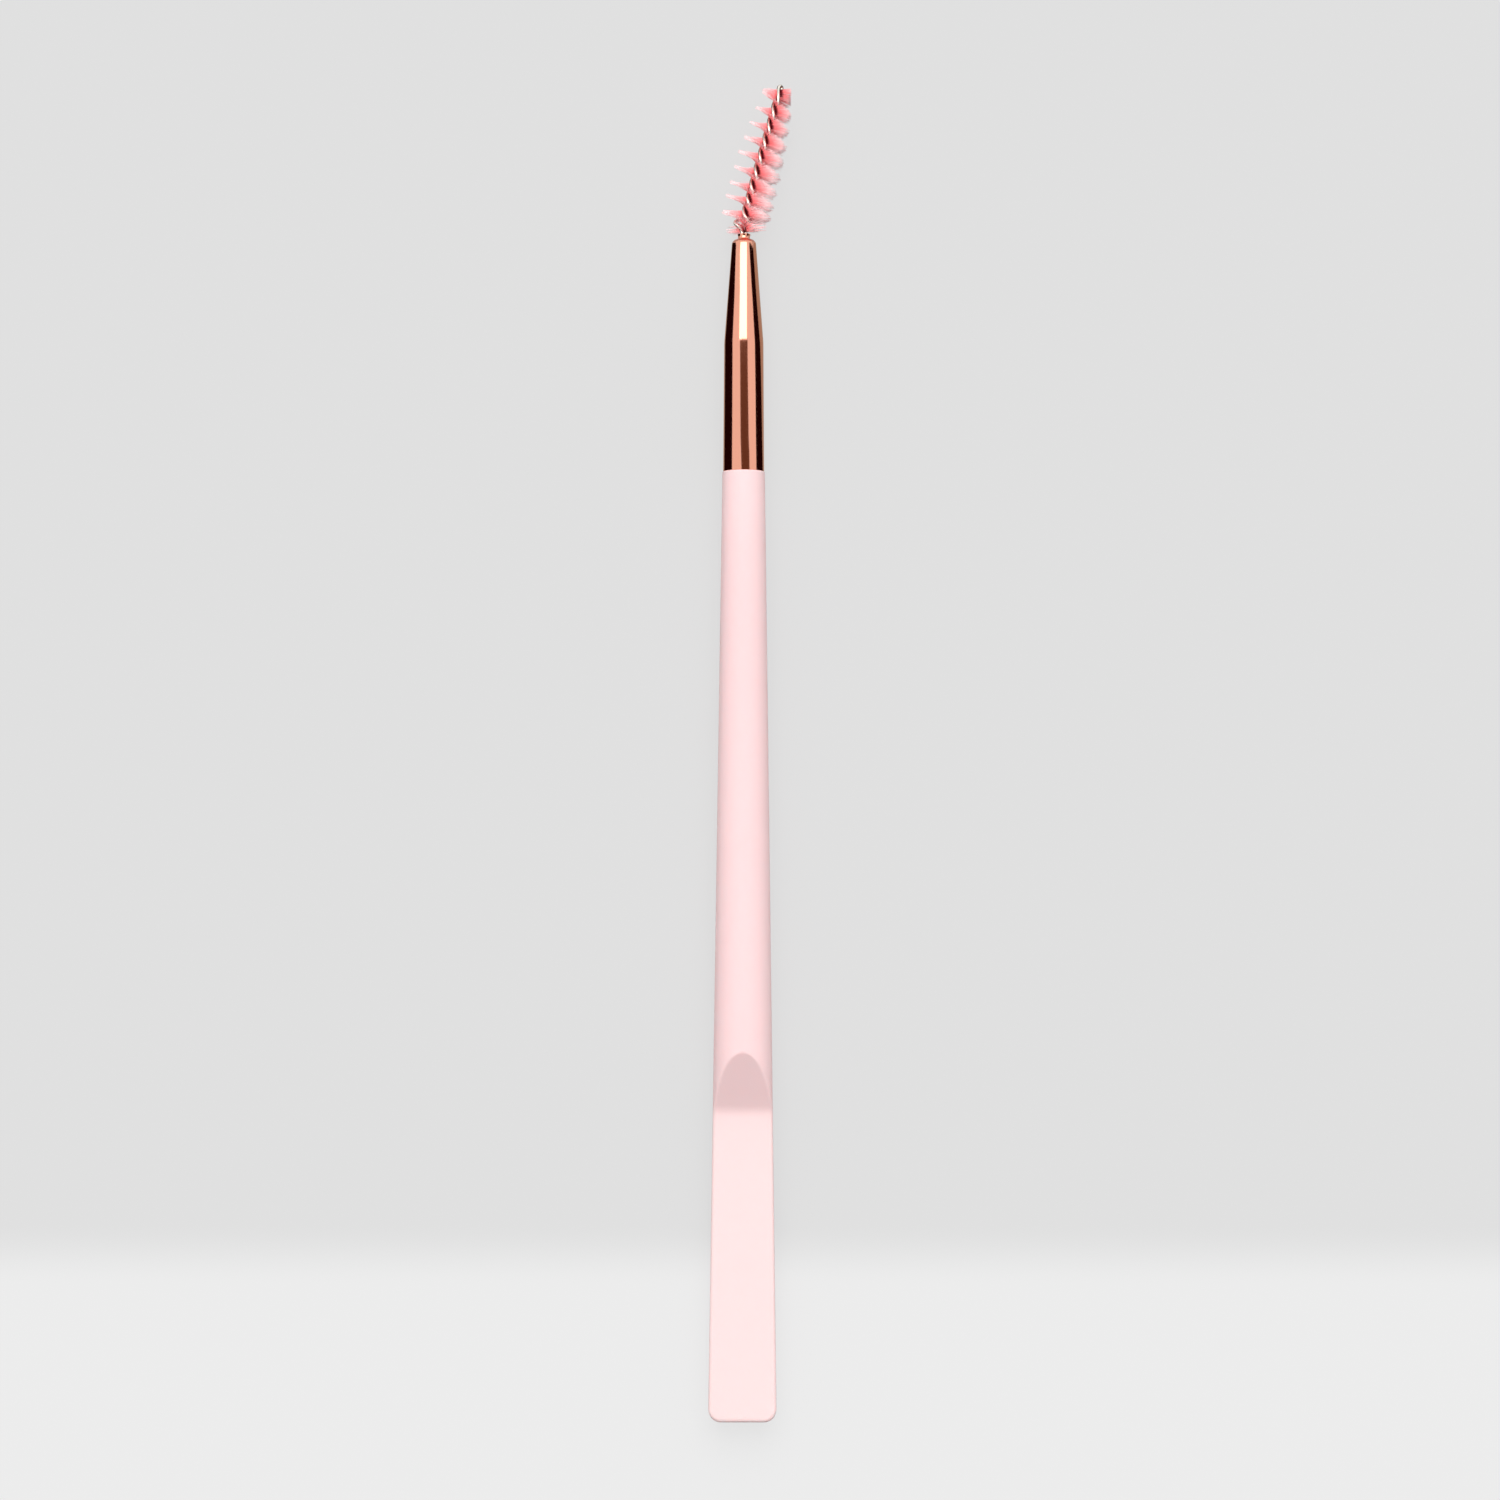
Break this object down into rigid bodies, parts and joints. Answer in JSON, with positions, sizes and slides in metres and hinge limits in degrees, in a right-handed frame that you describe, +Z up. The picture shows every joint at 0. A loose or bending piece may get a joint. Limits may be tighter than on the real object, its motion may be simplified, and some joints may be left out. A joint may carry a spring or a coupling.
{
  "type": "dual-ended brow applicator",
  "caption": "Slim brow tool with a flat blade at one end and a small twisted-wire brush, set in a metal ferrule, at the other.",
  "frame": {"origin": "on the surface the tool lies on, under the middle of its bounding box", "axes": "+Y along the tool towards the brush, -Y towards the blade's end, +Z up out of the blade's upper face, +X the side the brush leans to"},
  "size_m": [0.0106, 0.1752, 0.0077],
  "materials": {
    "pink_plastic": "matt",
    "rose_gold_metal": "polished",
    "steel_wire": "bright drawn",
    "pink_nylon": "satin filament",
    "clear_glue": "gloss"
  },
  "bodies": {
    "root": {"handle": "pink_plastic", "ferrule": "rose_gold_metal", "stem_glue": "clear_glue", "brush_wire": "steel_wire", "bristles": "pink_nylon"}
  },
  "joints": []
}
